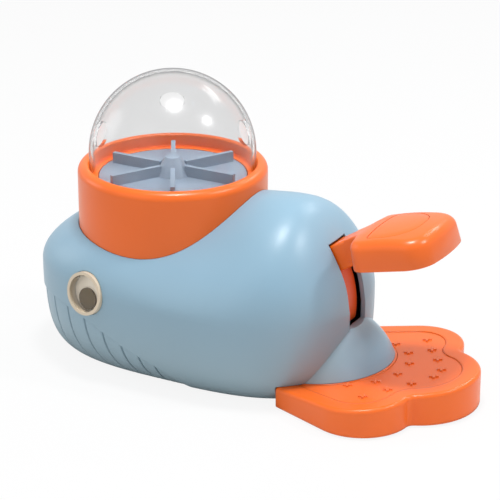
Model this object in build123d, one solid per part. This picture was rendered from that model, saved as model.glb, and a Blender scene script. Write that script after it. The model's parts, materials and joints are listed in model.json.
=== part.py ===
from build123d import *
import math
import os

os.makedirs("parts", exist_ok=True)

# Whale-shaped treat dispenser with a press lever for a tail.
# Millimetres, +X to the tail, +Z up, mirror-symmetric about Y = 0.
# The origin is on the floor, under the middle of the toy's length.

# Clearances
FIT = 0.05
TIGHT = 0.02
GAP = 0.3
SEAT_GAP = 0.2
SOCKET_GAP = 0.15

# Whale body
NOSE_X = -129.1
RUMP_X = 59.3
WIDEST_X = -43.0
HALF_WIDTH = 64.0
WIDEST_Z_NOSE = 52.5
WIDEST_Z_RUMP = 46.0
HUMP_X = 23.5
HUMP_Z = 102.0
BELLY_Z = -8.2
UNDERSIDE_Z = 1.0
WALL = 2.6
FRONT_PLAN_POWER = 2.35
REAR_PLAN_POWER = 2.85
FRONT_BACK_POWER = 1.87
REAR_BACK_POWER = 1.6
BELLY_POWER = 4.8
SHOULDER = 0.60
SHOULDER_DIP = 0.25
SHOULDER_DIP_X = -18.0
SHOULDER_DIP_SPREAD = 42.0
BILGE = 0.78
SECTIONS = 16
TIP = 0.1

# Chin with its throat grooves
CHIN_STEP = 0.8
MOUTH_LINE = [
    (-150.0, 39.5),
    (-112.0, 39.0),
    (-92.0, 38.0),
    (-72.0, 32.5),
    (-51.0, 22.5),
    (-33.0, 14.0),
    (-14.0, -4.0),
]
GROOVE_DEPTH = 1.0
GROOVE_WIDTH = 1.3
GROOVE_STEP = 7.6
GROOVES_EACH_SIDE = 10
GROOVE_FAN_X = -20.0

# Collar, dome and feed floor, all about one upright axis
DOME_X = -55.0
COLLAR_R = 52.3
COLLAR_WALL = 2.5
COLLAR_TOP_Z = 110.0
COLLAR_ROUND = 4.5
DECK_Z = 66.0
DECK_THICK = 2.5
DECK_HOLE_R = 43.0
DECK_OUTER_R = 58.0
COLLAR_POST_R = 46.6
LEDGE_Z = 103.2
LEDGE_THICK = 3.0
LEDGE_HOLE_R = 41.2
DOME_R = 46.0
DOME_WALL = 2.0
DOME_EQUATOR_Z = 115.5
OUTLET_R = 7.0
OUTLET_RISE = 21.0
OUTLET_ANGLES = (-127.5, 8.5, 120.5)
TRAY_THICK = 2.8
TRAY_HUB_R = 8.0
TRAY_HUB_DROP = 12.0
TURNTABLE_THICK = 2.4
TURNTABLE_GAP = 0.6
VANE_COUNT = 6
VANE_HEIGHT = 6.0
VANE_THICK = 2.4
CONE_R = 10.0
CONE_HEIGHT = 10.0

# Gear train
SPINDLE_R = 2.5
BUSH_WALL = 2.5
MODULE = 1.0
PRESSURE_ANGLE = 25.0
BACKLASH = 0.1
SECTOR_TEETH_FULL = 96
PINION_TEETH = 14
SECTOR_FROM = 171.0
SECTOR_TO = 220.0
GEAR_Y = 11.0
GEAR_FACE = 5.0
BEVEL_MODULE = 1.25
LAY_BEVEL_TEETH = 24
SPINDLE_BEVEL_TEETH = 16
BEVEL_FACE = 6.0
BEVEL_BACKLASH = 0.16
BEVEL_HUB = 3.5
FRAME_INNER_Y = 22.0
FRAME_THICK = 3.0
BRIDGE_Z = 64.0
BRIDGE_THICK = 6.0

# Press lever, drawn at rest with the paddle raised
PIVOT_Z = 45.0
PIN_R = 3.0
HUB_R = 9.0
HUB_STEP_R = 7.0
LEVER_TRAVEL = 30.0
SHIELD_R = 54.5
SHIELD_THICK = 3.0
SHIELD_FROM = -9.0
SHIELD_TO = 71.0
ARM_WIDTH = 16.6
ARM_HALF_DEPTH = 7.3
ARM_ANGLE = 31.5
RIB = 3.0
TONGUE_R = 76.0
TONGUE_HALF_WIDTH = 5.5
TONGUE_HALF_DEPTH = 4.0
NECK_PIN_R = 68.0
SPRING_X = 26.0
SPRING_PAD_Z = 49.3
SPRING_OD = 12.0
SPRING_WIRE = 1.4
SPRING_TURNS = 8

# Slot in the rump that the arm moves in
SLOT_WIDTH = 19.0
SLOT_LOW_Z = 36.5
SLOT_HIGH_Z = 83.0

# Paddle on the lever
PADDLE_X = 71.0
PADDLE_Z = 78.4
PADDLE_TILT = 13.0
PADDLE_LENGTH = 42.0
PADDLE_HALF_WIDTH = 27.5
PADDLE_CORNER_R = 11.0
PADDLE_PANEL_R = 17.0
PADDLE_BULGE = 5.0
PADDLE_ROOT_THICK = 19.5
PADDLE_END_THICK = 15.5
PADDLE_WALL = 2.5
PADDLE_ROOF = 3.4
PADDLE_ROUND = 2.5
NECK_END_R = 86.0
NECK_BLEND_R = 7.0

# Foot fluke
FOOT_FRONT_X = 33.0
FOOT_FRONT_HALF_WIDTH = 46.0
FOOT_FRONT_Z = 12.0
FOOT_END_Z = 20.0
SIDE_LOBE_X = 78.0
SIDE_LOBE_Y = 33.5
SIDE_LOBE_R = 27.5
END_LOBE_X = 94.5
END_LOBE_R = 34.5
LOBE_NOTCH_R = 5.0
FOOT_CORNER_R = 3.0
FOOT_WALL = 2.5
FOOT_ROUND = 2.0
FOOT_CEILING = 3.4
FOOT_WINDOW_FROM = 37.0
FOOT_WINDOW_TO = 49.0
FOOT_WINDOW_HALF_WIDTH = 10.0
PANEL_INSET = 10.0
PANEL_DEPTH = 1.5
PANEL_THICK = 1.2
PANEL_GAP = 0.25
PANEL_STALK_R = 37.4
MARK_SIZE = 5.0
MARK_BAR = 1.3
MARK_HEIGHT = 0.7
INNER_MARK_R = 33.0
INNER_MARK_ANGLES = (13.2, 39.7, 66.0)
OUTER_MARKS = [(107.0, 5.0), (99.5, 17.0), (91.0, 28.5), (82.5, 41.0)]
MARK_CENTRE_X = 55.0

# Rounded tail stalk that joins the body to the foot
STALK_X = 42.0
STALK_Z = 3.0
STALK_R = 38.5
STALK_POST_X = 60.0
STALK_POST_Y = 15.0

# Base plate, rubber feet and screws
PLATE_THICK = 3.0
PAD_R = 7.0
PAD_SINK = 0.6
BODY_PADS = [(-88.0, 22.0), (8.0, 27.0)]
FOOT_PADS = [(76.0, 38.0), (112.0, 14.0)]
FRAME_POSTS = [-56.0, -12.0]
SCREW_R = 1.4
SCREW_HEAD_R = 2.7
SCREW_HEAD = 1.4
POST_R = 4.2
BODY_POSTS = [-8.0, 22.0]
CHIN_POSTS = [-104.0, -66.0]

# Eyes
EYE_X = -75.0
EYE_Z = 50.0
EYE_NORMAL = (-0.18, -0.975, 0.12)
EYE_R = 12.0
EYE_RING = 1.7
EYE_DEPTH = 4.2
EYE_STAND = 1.4
PUPIL_R = 6.0
PUPIL_DROP = 3.4
PUPIL_THICK = 1.0
LENS_THICK = 0.6
LENS_RISE = 2.6


def rise(share, power):
    """Height of a rounded curve of unit size at a share of its half length."""
    return (1 - min(abs(share), 1.0) ** power) ** (1 / power)


def blend(x):
    """Share of the way from nose to rump."""
    return (x - NOSE_X) / (RUMP_X - NOSE_X)


def widest_z(x):
    return WIDEST_Z_NOSE + (WIDEST_Z_RUMP - WIDEST_Z_NOSE) * blend(x)


def section_sizes(x, inset):
    """Half width, crown height and belly height of the whale at one place along X."""
    nose = NOSE_X + inset
    rump = RUMP_X - inset
    middle = widest_z(x)
    if x < WIDEST_X:
        share = (WIDEST_X - x) / (WIDEST_X - nose)
        plan_power = FRONT_PLAN_POWER
    else:
        share = (x - WIDEST_X) / (rump - WIDEST_X)
        plan_power = REAR_PLAN_POWER
    if x < HUMP_X:
        back_share = (HUMP_X - x) / (HUMP_X - nose)
        back_power = FRONT_BACK_POWER
    else:
        back_share = (x - HUMP_X) / (rump - HUMP_X)
        back_power = REAR_BACK_POWER
    width = (HALF_WIDTH - inset) * rise(share, plan_power)
    crown = (HUMP_Z - inset - middle) * rise(back_share, back_power)
    belly = (middle - BELLY_Z - inset) * rise(share, BELLY_POWER)
    return width, crown, belly


def shoulder(x):
    """How full the upper quarter of a section is, slimmer between collar and hump."""
    reach = (x - SHOULDER_DIP_X) / SHOULDER_DIP_SPREAD
    return SHOULDER - SHOULDER_DIP * math.exp(-reach * reach)


def quarter(x, width, height, fullness):
    """One quarter of a section, from its widest point to its crown or keel."""
    middle = widest_z(x)
    return [
        (x, width, middle),
        (x, width, middle + height * fullness),
        (x, width * fullness, middle + height),
        (x, 0, middle + height),
    ]


def body_section(x, inset):
    width, crown, belly = section_sizes(x, inset)
    full = shoulder(x)
    top_right = quarter(x, width, crown, full)
    top_left = quarter(x, -width, crown, full)
    low_left = quarter(x, -width, -belly, BILGE)
    low_right = quarter(x, width, -belly, BILGE)
    edges = [
        Edge.make_bezier(*top_right),
        Edge.make_bezier(*reversed(top_left)),
        Edge.make_bezier(*low_left),
        Edge.make_bezier(*reversed(low_right)),
    ]
    return Wire(edges)


def body_form(inset):
    """The whale's whole outer form, brought in evenly by inset."""
    nose = NOSE_X + inset
    rump = RUMP_X - inset
    middle = (nose + rump) / 2
    half = (rump - nose) / 2
    places = [nose + TIP]
    for index in range(1, SECTIONS):
        places.append(middle - half * math.cos(math.pi * index / SECTIONS))
    places.append(rump - TIP)
    return Part() + Solid.make_loft([body_section(x, inset) for x in places])


def slab(z_low, z_high, size=400):
    """A flat slab wider than the toy, to cut or keep one height range."""
    return Pos(0, 0, (z_low + z_high) / 2) * Box(size, size, z_high - z_low)


def side_reach(x, z, inset):
    """Half width of the body below its widest level."""
    width, crown, belly = section_sizes(x, inset)
    depth = (widest_z(x) - z) / belly
    low = 0.0
    high = 1.0
    for _ in range(40):
        t = (low + high) / 2
        fall = 3 * (1 - t) ** 2 * t * BILGE + 3 * (1 - t) * t ** 2 + t ** 3
        if fall < depth:
            low = t
        else:
            high = t
    return width * ((1 - t) ** 3 + 3 * (1 - t) ** 2 * t + 3 * (1 - t) * t ** 2 * BILGE)


def rod(x, y, z_low, z_high, radius):
    """An upright round bar."""
    return Pos(x, y, z_low) * Cylinder(radius, z_high - z_low, align=(Align.CENTER, Align.CENTER, Align.MIN))


def cross_rod(x, z, y_low, y_high, radius):
    """A round bar along Y."""
    plane = Plane((x, y_low, z), x_dir=(1, 0, 0), z_dir=(0, 1, 0))
    return plane * Cylinder(radius, y_high - y_low, align=(Align.CENTER, Align.CENTER, Align.MIN))


def outline_of(*points):
    """A flat shape through the points, turned to face up whichever way they run."""
    area = sum(a[0] * b[1] - b[0] * a[1] for a, b in zip(points, points[1:] + points[:1]))
    ordered = points if area > 0 else points[::-1]
    return Polygon(*ordered, align=None)


def side_plate(sketch, y_low, y_high):
    """A plate cut to a side-view outline, X across and Z up, between two Y levels."""
    plane = Plane((0, y_high, 0), x_dir=(1, 0, 0), z_dir=(0, -1, 0))
    return extrude(plane * sketch, y_high - y_low, dir=(0, -1, 0))


def mirrored(part):
    return mirror(part, Plane.XZ)


def save(node, part):
    """Write one sub-part as a solid or as a group of separate solids."""
    solids = part.solids()
    shape = solids[0] if len(solids) == 1 else Compound(children=list(solids))
    export_step(shape, f"parts/{node}.step")


# Foot fluke outline and its sloping top
def foot_top_z(x):
    slope = (FOOT_END_Z - FOOT_FRONT_Z) / (END_LOBE_X + END_LOBE_R - FOOT_FRONT_X)
    return FOOT_FRONT_Z + slope * (x - FOOT_FRONT_X)


def foot_plane(lift):
    """The plane of the foot's top, raised by lift."""
    run = END_LOBE_X + END_LOBE_R - FOOT_FRONT_X
    climb = FOOT_END_Z - FOOT_FRONT_Z
    return Plane((FOOT_FRONT_X, 0, FOOT_FRONT_Z + lift), x_dir=(run, 0, climb), z_dir=(-climb, 0, run))


def foot_outline():
    away_x = FOOT_FRONT_X - SIDE_LOBE_X
    away_y = FOOT_FRONT_HALF_WIDTH - SIDE_LOBE_Y
    turn = math.atan2(away_y, away_x) - math.acos(SIDE_LOBE_R / math.hypot(away_x, away_y))
    touch_x = SIDE_LOBE_X + SIDE_LOBE_R * math.cos(turn)
    touch_y = SIDE_LOBE_Y + SIDE_LOBE_R * math.sin(turn)
    half = [(FOOT_FRONT_X, FOOT_FRONT_HALF_WIDTH), (touch_x, touch_y), (SIDE_LOBE_X, SIDE_LOBE_Y), (END_LOBE_X, 0)]
    other = [(x, -y) for x, y in reversed(half[:-1])]
    sketch = outline_of(*half, *other)
    sketch += Pos(END_LOBE_X, 0) * Circle(END_LOBE_R)
    for side in (1, -1):
        sketch += Pos(SIDE_LOBE_X, side * SIDE_LOBE_Y) * Circle(SIDE_LOBE_R)
    outer = [v for v in sketch.vertices() if v.X > SIDE_LOBE_X + SIDE_LOBE_R / 2]
    sketch = fillet(outer, LOBE_NOTCH_R)
    front = [v for v in sketch.vertices() if v.X < FOOT_FRONT_X + 1]
    return fillet(front, FOOT_CORNER_R)


def foot_block(grow, top_lift, z_low):
    """The foot's outline pulled up from z_low to its sloping top."""
    outline = foot_outline()
    if grow:
        outline = offset(outline, grow)
    block = Pos(0, 0, z_low) * extrude(outline, FOOT_END_Z + 20)
    return split(block, bisect_by=foot_plane(top_lift), keep=Keep.BOTTOM)


def paddle_plane(lift):
    """The paddle's underside plane, raised along its own normal by lift."""
    tilt = math.radians(PADDLE_TILT)
    x = PADDLE_X - lift * math.sin(tilt)
    z = PADDLE_Z + lift * math.cos(tilt)
    return Plane((x, 0, z), x_dir=(math.cos(tilt), 0, math.sin(tilt)), z_dir=(-math.sin(tilt), 0, math.cos(tilt)))


def paddle_top(sink):
    """The paddle's top plane, which leans down to the thinner far end."""
    root = paddle_plane(PADDLE_ROOT_THICK - sink)
    drop = PADDLE_ROOT_THICK - PADDLE_END_THICK
    lean = PADDLE_TILT - math.degrees(math.atan2(drop, PADDLE_LENGTH))
    x_dir = (math.cos(math.radians(lean)), 0, math.sin(math.radians(lean)))
    z_dir = (-math.sin(math.radians(lean)), 0, math.cos(math.radians(lean)))
    return Plane(root.origin, x_dir=x_dir, z_dir=z_dir)


def paddle_outline(root_inset, side_inset, end_inset, corner_r):
    """The paddle seen square on, from the arm end at zero to the bulged free end."""
    half = PADDLE_HALF_WIDTH - side_inset
    end = PADDLE_LENGTH - end_inset
    side_end = end - PADDLE_BULGE
    free_end = ThreePointArc((side_end, half), (end, 0), (side_end, -half))
    rest = Polyline((side_end, -half), (root_inset, -half), (root_inset, half), (side_end, half))
    sketch = make_face([free_end, rest])
    corners = [v for v in sketch.vertices() if v.X > PADDLE_LENGTH / 2]
    return fillet(corners, corner_r)


def arm_box(from_r, to_r, half_width, half_depth):
    """A straight bar that points out from the pivot along the arm."""
    turn = math.radians(ARM_ANGLE)
    plane = Plane((0, 0, PIVOT_Z), x_dir=(math.cos(turn), 0, math.sin(turn)),
                  z_dir=(-math.sin(turn), 0, math.cos(turn)))
    bar = Pos((from_r + to_r) / 2, 0, 0) * Box(to_r - from_r, 2 * half_width, 2 * half_depth)
    return plane * bar


def polar(centre_x, centre_z, radius, degrees):
    turn = math.radians(degrees)
    return (centre_x + radius * math.cos(turn), centre_z + radius * math.sin(turn))


def arc_band(centre_x, centre_z, inner_r, outer_r, from_deg, to_deg):
    """A ring piece between two radii and two angles, as a side-view sketch."""
    middle = (from_deg + to_deg) / 2
    outer_points = [polar(centre_x, centre_z, outer_r, turn) for turn in (from_deg, middle, to_deg)]
    inner_points = [polar(centre_x, centre_z, inner_r, turn) for turn in (to_deg, middle, from_deg)]
    outer = ThreePointArc(*outer_points)
    inner = ThreePointArc(*inner_points)
    sides = [Line(outer @ 1, inner @ 0), Line(inner @ 1, outer @ 0)]
    return make_face([outer, inner, *sides])


def screw(x, y, head_z, length):
    """A cross-head screw that points up, with its head at the bottom."""
    body = rod(x, y, head_z, head_z + SCREW_HEAD, SCREW_HEAD_R)
    body += rod(x, y, head_z, head_z + length, SCREW_R)
    for turn in (0, 90):
        body -= Pos(x, y, head_z) * Rot(0, 0, turn) * Box(3.4, 0.8, 1.4)
    return body


def screw_hole(x, y, head_z, seat_z, top_z):
    """Clearance for a screw: a wide recess for the head, then a narrow hole."""
    return rod(x, y, head_z - 5, seat_z, SCREW_HEAD_R + GAP) + rod(x, y, head_z, top_z, SCREW_R + FIT)


def lathe(points):
    """Turn a closed outline of (radius, height) points about the Z axis."""
    return revolve(Plane.XZ * outline_of(*points), Axis.Z)


# Gear teeth: involute flanks worked out from the module and the tooth count
def involute(angle):
    return math.tan(angle) - angle


def flank_angle(radius, pitch_r, teeth, thinning):
    """Half the angle that one tooth fills at a radius."""
    pressure = math.radians(PRESSURE_ANGLE)
    base_r = pitch_r * math.cos(pressure)
    here = math.acos(min(1.0, base_r / radius))
    return math.pi / (2 * teeth) - thinning / (2 * pitch_r) + involute(pressure) - involute(here)


def tooth_points(radii, half_angles, centre):
    """One tooth's corners, up one flank and down the other."""
    up = [polar(0, 0, r, centre - math.degrees(a)) for r, a in zip(radii, half_angles)]
    down = [polar(0, 0, r, centre + math.degrees(a)) for r, a in zip(radii, half_angles)]
    return up + down[::-1]


def spur_tooth(teeth, centre):
    pitch_r = MODULE * teeth / 2
    base_r = pitch_r * math.cos(math.radians(PRESSURE_ANGLE))
    root_r = pitch_r - 1.25 * MODULE
    tip_r = pitch_r + MODULE
    start_r = max(root_r, base_r)
    radii = [root_r] + [start_r + (tip_r - start_r) * step / 4 for step in range(5)]
    if start_r == root_r:
        radii = radii[1:]
    half_angles = [flank_angle(max(r, base_r), pitch_r, teeth, BACKLASH) for r in radii]
    return tooth_points(radii, half_angles, centre)


def bevel_outline(teeth, mate_teeth, distance, first_tooth):
    """A bevel gear's outline on a flat plane square to its axis, by its back cone."""
    pitch_r = BEVEL_MODULE * teeth / 2
    cone = math.atan2(teeth, mate_teeth)
    length = pitch_r / math.sin(cone)
    back_r = pitch_r / math.cos(cone)
    back_teeth = teeth / math.cos(cone)
    heights = [(-1.05 + 0.37 * step) * BEVEL_MODULE for step in range(6)]
    radii = [distance * math.tan(cone + math.atan2(h, length)) for h in heights]
    base_r = back_r * math.cos(math.radians(PRESSURE_ANGLE))
    half_angles = []
    for h in heights:
        half = flank_angle(max(back_r + h, base_r), back_r, back_teeth, BEVEL_BACKLASH)
        half_angles.append(half / math.cos(cone))
    points = []
    for index in range(teeth):
        points += tooth_points(radii, half_angles, first_tooth + index * 360 / teeth)
    return points


def bevel_gear(teeth, mate_teeth, first_tooth):
    """A bevel gear about Z with its cone's point at the origin and its wide end up."""
    wide = BEVEL_MODULE * mate_teeth / 2
    cone = math.atan2(teeth, mate_teeth)
    length = wide / math.cos(cone)
    narrow = wide * (length - BEVEL_FACE) / length
    ends = []
    for height in (narrow, wide):
        points = bevel_outline(teeth, mate_teeth, height, first_tooth)
        ends.append(Wire.make_polygon([(x, y, height) for x, y in points], close=True))
    return Part() + Solid.make_loft(ends, ruled=True)


# Upper shell: body form and stalk, hollow, with the collar well and the lever slot
outer_form = body_form(0)
cavity = body_form(WALL)
mouth_edge = Spline(*MOUTH_LINE)
mouth_back = Polyline(MOUTH_LINE[-1], (MOUTH_LINE[-1][0], -30), (MOUTH_LINE[0][0], -30), MOUTH_LINE[0])
chin_zone = side_plate(make_face([mouth_edge, mouth_back]), -HALF_WIDTH - 10, HALF_WIDTH + 10)
foot_envelope = foot_block(GAP, SEAT_GAP, -5)
plate_top = UNDERSIDE_Z + PLATE_THICK
post_top = plate_top + 12
stalk = Pos(STALK_X, 0, STALK_Z) * Sphere(STALK_R)
stalk_hollow = Pos(STALK_X, 0, STALK_Z) * Sphere(STALK_R - WALL)
eye_y = -side_reach(EYE_X, EYE_Z, 0)
eye_plane = Plane((EYE_X, eye_y, EYE_Z), x_dir=(1, 0, 0), z_dir=EYE_NORMAL)


def eye_disc(radius, low, high, drop=0):
    """A round disc on the near eye's axis, between two heights above the eye's plane."""
    disc = Cylinder(radius, high - low, align=(Align.CENTER, Align.CENTER, Align.MIN))
    return eye_plane * (Pos(0, -drop, low) * disc)


def shell_post(x, wall_inset, form):
    """A screw post that stands on the base plate beside the wall, with a rib to it."""
    y = side_reach(x, UNDERSIDE_Z, wall_inset) - SCREW_HEAD_R - 3 * GAP
    rib = Pos(x, y + 7, (plate_top + post_top) / 2) * Box(RIB, 14, post_top - plate_top)
    post = (rod(x, y, plate_top, post_top, POST_R) + rib) & form
    post -= rod(x, y, plate_top - 1, post_top - 2, SCREW_R + FIT)
    return post, (x, y)


screw_places = []
upper_shell = outer_form + stalk
upper_shell -= cavity + stalk_hollow
upper_shell += rod(DOME_X, 0, DECK_Z - DECK_THICK, DECK_Z, DECK_OUTER_R) & outer_form
eye_boss = eye_disc(EYE_R + 2, -EYE_DEPTH - 2, 4) & outer_form
eye_pocket = eye_disc(EYE_R + GAP / 2, -EYE_DEPTH, 20)
upper_shell += eye_boss + mirrored(eye_boss)
upper_shell -= eye_pocket + mirrored(eye_pocket)
upper_shell -= rod(DOME_X, 0, DECK_Z, 140, COLLAR_R + GAP)
upper_shell -= rod(DOME_X, 0, DECK_Z - DECK_THICK - 1, DECK_Z + 1, DECK_HOLE_R)
upper_shell -= chin_zone
slot_height = SLOT_HIGH_Z - SLOT_LOW_Z
upper_shell -= Pos(RUMP_X, 0, SLOT_LOW_Z + slot_height / 2) * Box(50, SLOT_WIDTH, slot_height)
upper_shell -= slab(-60, UNDERSIDE_Z)
for x in BODY_POSTS:
    post, place = shell_post(x, WALL, outer_form)
    screw_places.append(place)
    upper_shell += post + mirrored(post)
stalk_post = rod(STALK_POST_X, STALK_POST_Y, 0, 60, 3.5) & stalk
upper_shell += stalk_post + mirrored(stalk_post)
upper_shell -= foot_envelope
stalk_bore = rod(STALK_POST_X, STALK_POST_Y, 0, 26, SCREW_R + FIT)
upper_shell -= stalk_bore + mirrored(stalk_bore)
collar_posts = [polar(DOME_X, 0, COLLAR_POST_R, turn) for turn in (45, 135, 225, 315)]
for x, y in collar_posts:
    upper_shell -= rod(x, y, DECK_Z - 5, DECK_Z + 1, SCREW_R + FIT)
save("upper_shell", upper_shell)

# Chin shell with fanned throat grooves
chin_outer = body_form(CHIN_STEP)
chin_shell = chin_outer - cavity
chin_shell &= Pos(-0.2, 0, -0.2) * chin_zone
chin_shell -= slab(-60, UNDERSIDE_Z)
blades = Part()
for index in range(-GROOVES_EACH_SIDE, GROOVES_EACH_SIDE + 1):
    blade = Pos(-75, 0, 20) * Box(110, GROOVE_WIDTH, 90)
    blades += Pos(GROOVE_FAN_X, 0, 0) * Rot(0, 0, index * GROOVE_STEP) * blade
chin_shell -= blades - body_form(CHIN_STEP + GROOVE_DEPTH)
for x in CHIN_POSTS:
    post, place = shell_post(x, WALL, body_form(CHIN_STEP + GROOVE_DEPTH))
    screw_places.append(place)
    chin_shell += post + mirrored(post)
save("chin_shell", chin_shell)

# Base plate with its rubber feet
base_plate = body_form(WALL + GAP) & slab(UNDERSIDE_Z, plate_top)
base_plate &= Pos(FOOT_FRONT_X - GAP - 200, 0, 0) * Box(400, 400, 100)
base_plate += rod(SPRING_X, 0, plate_top, plate_top + 10, POST_R)
for x in FRAME_POSTS:
    screw_places.append((x, FRAME_INNER_Y + FRAME_THICK + POST_R - 0.6))
for x, y in screw_places:
    for side in (1, -1):
        base_plate -= screw_hole(x, side * y, UNDERSIDE_Z, UNDERSIDE_Z + SCREW_HEAD, plate_top + 1)
pad_z = UNDERSIDE_Z + PAD_SINK
pads = Part()
for x, y in BODY_PADS:
    for side in (1, -1):
        base_plate -= rod(x, side * y, UNDERSIDE_Z - 1, pad_z, PAD_R + FIT)
        pads += rod(x, side * y, 0, pad_z, PAD_R)
save("base_plate", base_plate)
save("body_feet", pads)
base_screws = Part()
for x, y in screw_places:
    for side in (1, -1):
        base_screws += screw(x, side * y, UNDERSIDE_Z, 10)
save("base_screws", base_screws)

# Foot fluke, its top panel with raised crosses, and its underside
outline = foot_outline()
foot = foot_block(0, 0, UNDERSIDE_Z)
slope_face = foot.faces().sort_by(Axis.Z)[-1]
foot = fillet(slope_face.edges(), FOOT_ROUND)
window = Pos((FOOT_WINDOW_FROM + FOOT_WINDOW_TO) / 2, 0, 20)
window *= Box(FOOT_WINDOW_TO - FOOT_WINDOW_FROM, 2 * FOOT_WINDOW_HALF_WIDTH, 26)
hollow_outline = offset(outline, -FOOT_WALL)
foot_hollow = Pos(0, 0, UNDERSIDE_Z - 1) * extrude(hollow_outline, FOOT_END_Z + 20)
foot_hollow = split(foot_hollow, bisect_by=foot_plane(-FOOT_CEILING), keep=Keep.BOTTOM)
foot -= foot_hollow


def panel_block(inset, sink_low, sink_high):
    """The panel's outline between two depths below the foot's top, clear of the stalk."""
    sketch = offset(outline, -PANEL_INSET - inset) - Pos(STALK_X, 0) * Circle(PANEL_STALK_R + inset)
    block = extrude(sketch, FOOT_END_Z + 20)
    block = split(block, bisect_by=foot_plane(-sink_low), keep=Keep.TOP)
    return split(block, bisect_by=foot_plane(-sink_high), keep=Keep.BOTTOM)


foot -= panel_block(0, PANEL_DEPTH, -10)
long_screws = [(STALK_POST_X, STALK_POST_Y), (STALK_POST_X, -STALK_POST_Y)]
short_screws = [(98.0, 0), (46.0, 36.0), (46.0, -36.0)]
for x, y in long_screws + short_screws:
    boss = rod(x, y, plate_top - 1, FOOT_END_Z, POST_R)
    foot += split(boss, bisect_by=foot_plane(-FOOT_CEILING + 0.5), keep=Keep.BOTTOM)
for x, y in long_screws:
    foot -= rod(x, y, 0, FOOT_END_Z + 5, SCREW_R + FIT)
for x, y in short_screws:
    foot -= rod(x, y, 0, 10, SCREW_R + FIT)
foot -= window
save("foot_fluke", foot)

panel = panel_block(PANEL_GAP, PANEL_DEPTH, PANEL_DEPTH - PANEL_THICK)
marks = [polar(MARK_CENTRE_X, 0, INNER_MARK_R, side * turn) for turn in INNER_MARK_ANGLES for side in (1, -1)]
marks += [(x, side * y) for x, y in OUTER_MARKS for side in (1, -1)]
for x, y in marks:
    spot = foot_plane(PANEL_THICK - PANEL_DEPTH + MARK_HEIGHT / 2)
    along = (x - FOOT_FRONT_X) / spot.x_dir.X
    for turn in (20, 110):
        panel += spot * (Pos(along, y, 0) * Rot(0, 0, turn) * Box(MARK_SIZE, MARK_BAR, MARK_HEIGHT))
save("foot_panel", panel)

underside = Pos(0, 0, UNDERSIDE_Z) * extrude(offset(outline, -FOOT_WALL - GAP / 2), PLATE_THICK - 1)
for x, y in long_screws + short_screws:
    underside -= screw_hole(x, y, UNDERSIDE_Z, UNDERSIDE_Z + SCREW_HEAD, plate_top)
pads = Part()
for x, y in FOOT_PADS:
    for side in (1, -1):
        underside -= rod(x, side * y, UNDERSIDE_Z - 1, pad_z, PAD_R + FIT)
        pads += rod(x, side * y, 0, pad_z, PAD_R)
save("foot_underside", underside)
save("foot_pads", pads)
foot_screws = Part()
for x, y in long_screws:
    foot_screws += screw(x, y, UNDERSIDE_Z, 22)
for x, y in short_screws:
    foot_screws += screw(x, y, UNDERSIDE_Z, 8)
save("foot_screws", foot_screws)

# Collar that holds the dome, with posts for the screws under the deck
bore_r = DOME_R + GAP
rim_in = DOME_R + GAP + 1.2
collar_inner_r = COLLAR_R - COLLAR_WALL
ledge_low = LEDGE_Z - LEDGE_THICK
profile = [
    Line((collar_inner_r, DECK_Z), (COLLAR_R, DECK_Z)),
    Line((COLLAR_R, DECK_Z), (COLLAR_R, COLLAR_TOP_Z - COLLAR_ROUND)),
    ThreePointArc(
        (COLLAR_R, COLLAR_TOP_Z - COLLAR_ROUND),
        polar(COLLAR_R - COLLAR_ROUND, COLLAR_TOP_Z - COLLAR_ROUND, COLLAR_ROUND, 45),
        (COLLAR_R - COLLAR_ROUND, COLLAR_TOP_Z),
    ),
    Line((COLLAR_R - COLLAR_ROUND, COLLAR_TOP_Z), (rim_in, COLLAR_TOP_Z)),
    ThreePointArc(
        (rim_in, COLLAR_TOP_Z),
        polar(rim_in, COLLAR_TOP_Z - 1.2, 1.2, 135),
        (bore_r, COLLAR_TOP_Z - 1.2),
    ),
    Polyline(
        (bore_r, COLLAR_TOP_Z - 1.2),
        (bore_r, LEDGE_Z),
        (LEDGE_HOLE_R, LEDGE_Z),
        (LEDGE_HOLE_R, ledge_low),
        (collar_inner_r, ledge_low),
        (collar_inner_r, DECK_Z),
    ),
]
collar = Pos(DOME_X, 0, 0) * revolve(Plane.XZ * make_face(profile), Axis.Z)
tray_top = ledge_low - SEAT_GAP
tray_low = tray_top - TRAY_THICK
collar_screws = Part()
for x, y in collar_posts:
    post = rod(x, y, DECK_Z, tray_low, 3.4) & rod(DOME_X, 0, DECK_Z, tray_low, collar_inner_r + 0.5)
    collar += post - rod(x, y, DECK_Z - 1, DECK_Z + 10, SCREW_R + FIT)
    collar_screws += screw(x, y, DECK_Z - DECK_THICK - SCREW_HEAD, 12)
save("collar", collar)
save("collar_screws", collar_screws)

# Clear dome with its outlet holes
dome = Pos(DOME_X, 0, DOME_EQUATOR_Z) * Sphere(DOME_R)
dome &= slab(DOME_EQUATOR_Z, 200)
dome += rod(DOME_X, 0, LEDGE_Z, DOME_EQUATOR_Z, DOME_R)
inside = Pos(DOME_X, 0, DOME_EQUATOR_Z) * Sphere(DOME_R - DOME_WALL)
inside += rod(DOME_X, 0, LEDGE_Z - 1, DOME_EQUATOR_Z, DOME_R - DOME_WALL)
dome -= inside
for turn in OUTLET_ANGLES:
    outlet = Rot(0, 90 - OUTLET_RISE, 0) * (Pos(0, 0, 40) * Cylinder(OUTLET_R, 30))
    dome -= Pos(DOME_X, 0, DOME_EQUATOR_Z) * Rot(0, 0, turn) * outlet
save("dome", dome)

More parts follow.
